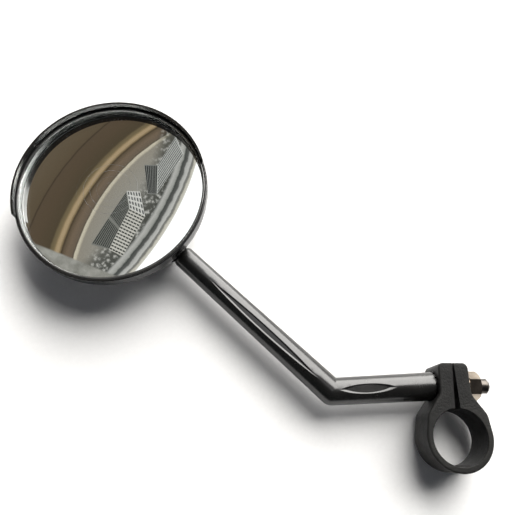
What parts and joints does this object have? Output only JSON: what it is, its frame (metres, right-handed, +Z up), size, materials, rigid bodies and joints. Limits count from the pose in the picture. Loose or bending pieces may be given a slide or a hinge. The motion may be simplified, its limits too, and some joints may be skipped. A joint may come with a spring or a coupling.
{
  "type": "bike mirror",
  "caption": "Round convex bicycle mirror on a bent arm, with a ball joint behind the head and a split clamp that closes on a handlebar under one bolt.",
  "frame": {"origin": "centre of the handlebar clamp bore", "axes": "+Y along the handlebar bore, away from the rider, so the mirror faces -Y; +Z up, from the bore towards the bolt; +X along the clamp bolt towards its nut, and the arm leaves the clamp towards -X"},
  "size_m": [0.1948, 0.0264, 0.1493],
  "materials": {
    "clamp_plastic": "matte, fine moulded texture",
    "arm_plastic": "gloss",
    "head_plastic": "gloss",
    "seat_nylon": "satin",
    "nut_steel": "machined, warm tint",
    "stud_steel": "machined, dull",
    "screw_steel": "black oxide",
    "insert_brass": "machined",
    "mirror_glass": "polished",
    "foam": "closed-cell foam"
  },
  "bodies": {
    "clamp": {"handlebar_clamp": "clamp_plastic", "nut_washer": "nut_steel"},
    "arm": {"mirror_arm": "arm_plastic", "arm_insert": "insert_brass", "clamp_stud": "stud_steel", "tooth_washer": "nut_steel"},
    "nut": {"clamp_nut": "nut_steel"},
    "ball": {"ball_stud": "stud_steel"},
    "seats": {"ball_seat_front": "seat_nylon", "ball_seat_back": "seat_nylon"},
    "head": {"mirror_housing": "head_plastic", "retaining_ring": "head_plastic", "mirror_glass": "mirror_glass", "glass_cushion": "foam", "adhesive_pad": "foam", "socket_cap": "head_plastic", "seat_spring": "screw_steel", "cap_screw_1": "screw_steel", "cap_screw_2": "screw_steel", "cap_screw_3": "screw_steel"}
  },
  "joints": [
    {"name": "arm_swivel", "type": "hinge", "parent": "clamp", "child": "arm", "pos_m": [0, 0, 0.0198], "axis": [1, 0, 0], "continuous": true},
    {"name": "nut_turn", "type": "hinge", "parent": "arm", "child": "nut", "pos_m": [0, 0, 0.0198], "axis": [1, 0, 0], "continuous": true},
    {"name": "head_twist", "type": "hinge", "parent": "arm", "child": "ball", "pos_m": [-0.115, 0, 0.0782], "axis": [-0.7433, 0, 0.669], "continuous": true},
    {"name": "head_tilt", "type": "hinge", "parent": "ball", "child": "seats", "pos_m": [-0.115, 0, 0.0782], "axis": [0.668, -0.0549, 0.7422], "range_deg": [-10, 7]},
    {"name": "head_swing", "type": "hinge", "parent": "seats", "child": "head", "pos_m": [-0.115, 0, 0.0782], "axis": [-0.0819, -0.9966, 0], "range_deg": [-22, 22]}
  ]
}
